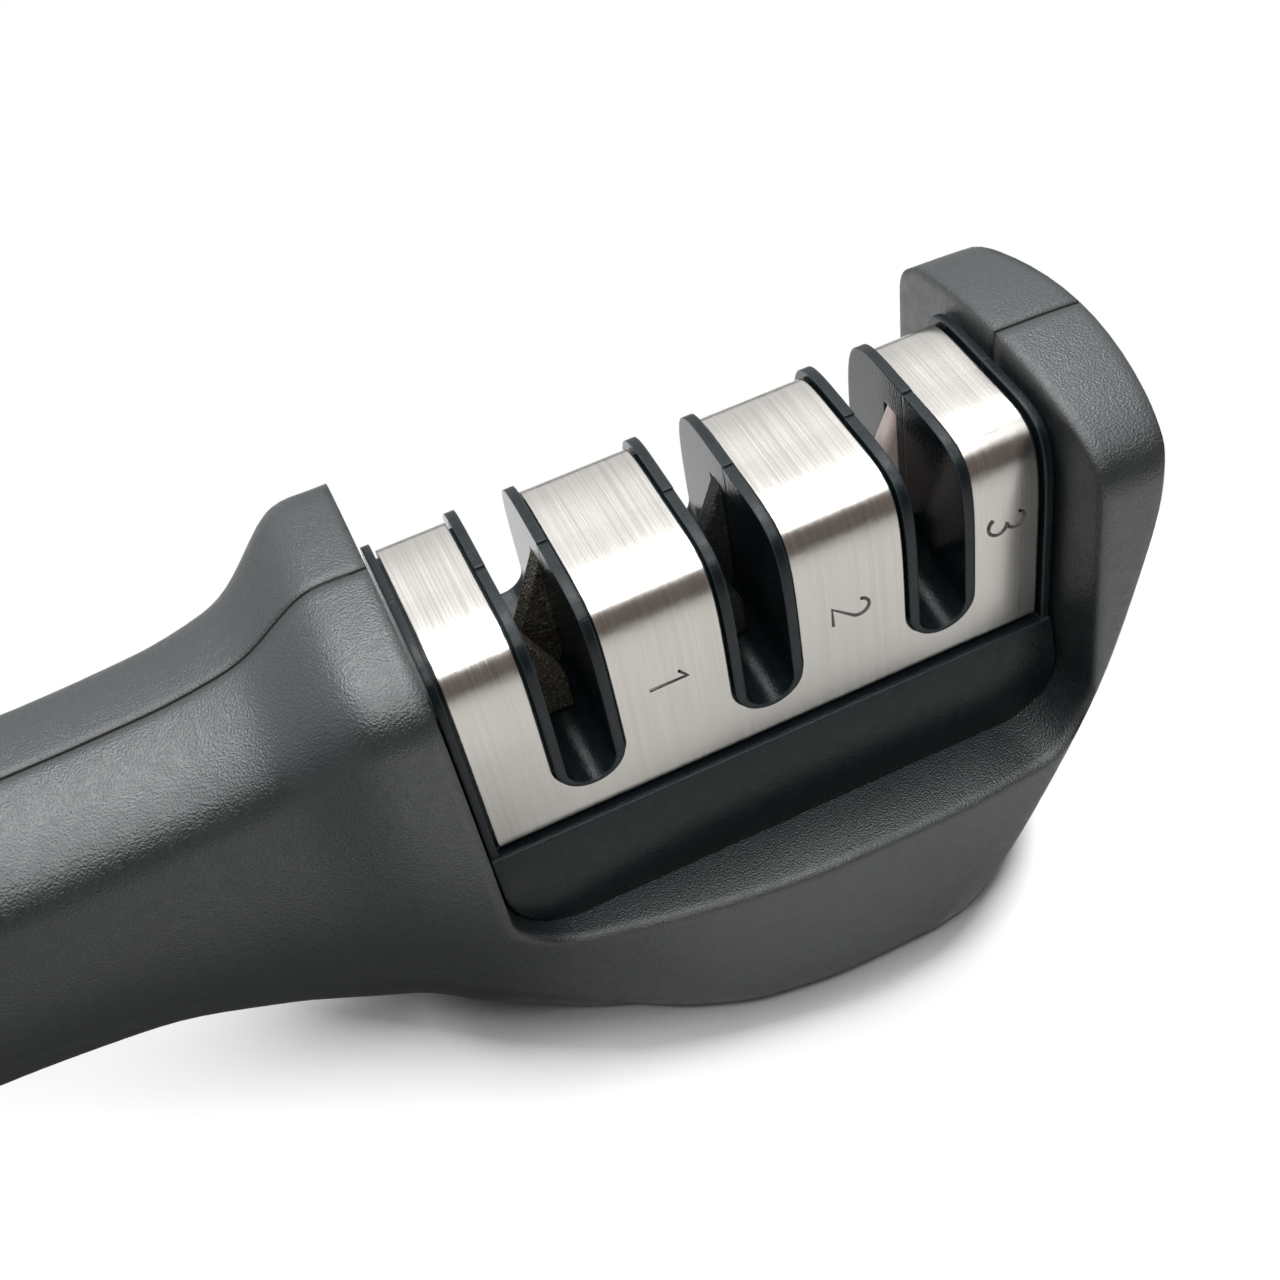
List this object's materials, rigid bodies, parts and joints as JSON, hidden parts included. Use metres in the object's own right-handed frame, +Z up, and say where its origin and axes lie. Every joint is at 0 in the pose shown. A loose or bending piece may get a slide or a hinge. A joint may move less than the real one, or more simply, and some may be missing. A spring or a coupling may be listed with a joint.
{
  "type": "pull through knife sharpener",
  "caption": "Hand-held pull-through knife sharpener: long handle, saddle-shaped body, and a lift-out steel-capped cartridge with V-shaped sharpening slots.",
  "frame": {"origin": "on the table under the rubber foot, below the middle of the steel cover, in the plane where the two body shells part", "axes": "+Z up; +X from the handle to the nose, along the body; -Y is the front, the side of the steel cover with the numbered panels"},
  "size_m": [0.2016, 0.0486, 0.0664],
  "materials": {
    "body_plastic": "fine spark-eroded texture, charcoal grey",
    "base_plastic": "smooth, near black",
    "foot_rubber": "matt",
    "cover_steel": "brushed around the bend",
    "cartridge_plastic": "satin, dark grey",
    "screw_steel": "zinc plated",
    "coarse_abrasive": "gritty, brown grey",
    "medium_abrasive": "fine grit, dark grey",
    "fine_ceramic": "smooth, off white"
  },
  "bodies": {
    "body": {"front_body_shell": "body_plastic", "rear_body_shell": "body_plastic", "base_plate": "base_plastic", "rubber_foot": "foot_rubber", "handle_end_screw": "screw_steel", "handle_middle_screw": "screw_steel", "hump_screw": "screw_steel", "nose_screw": "screw_steel", "base_screw_front_left": "screw_steel", "base_screw_rear_left": "screw_steel", "base_screw_front_right": "screw_steel", "base_screw_rear_right": "screw_steel"},
    "cartridge": {"steel_cover": "cover_steel", "cartridge_front_half": "cartridge_plastic", "cartridge_rear_half": "cartridge_plastic", "cartridge_screw_left": "screw_steel", "cartridge_screw_middle": "screw_steel", "cartridge_screw_right": "screw_steel", "coarse_rear_plate": "coarse_abrasive", "coarse_front_plate": "coarse_abrasive", "medium_rear_plate": "medium_abrasive", "medium_front_plate": "medium_abrasive", "fine_rear_plate": "fine_ceramic", "fine_front_plate": "fine_ceramic"}
  },
  "joints": [
    {"name": "cartridge_lift", "type": "slide", "parent": "body", "child": "cartridge", "axis": [0, 0, 1], "range_m": [0, 0.05]}
  ]
}
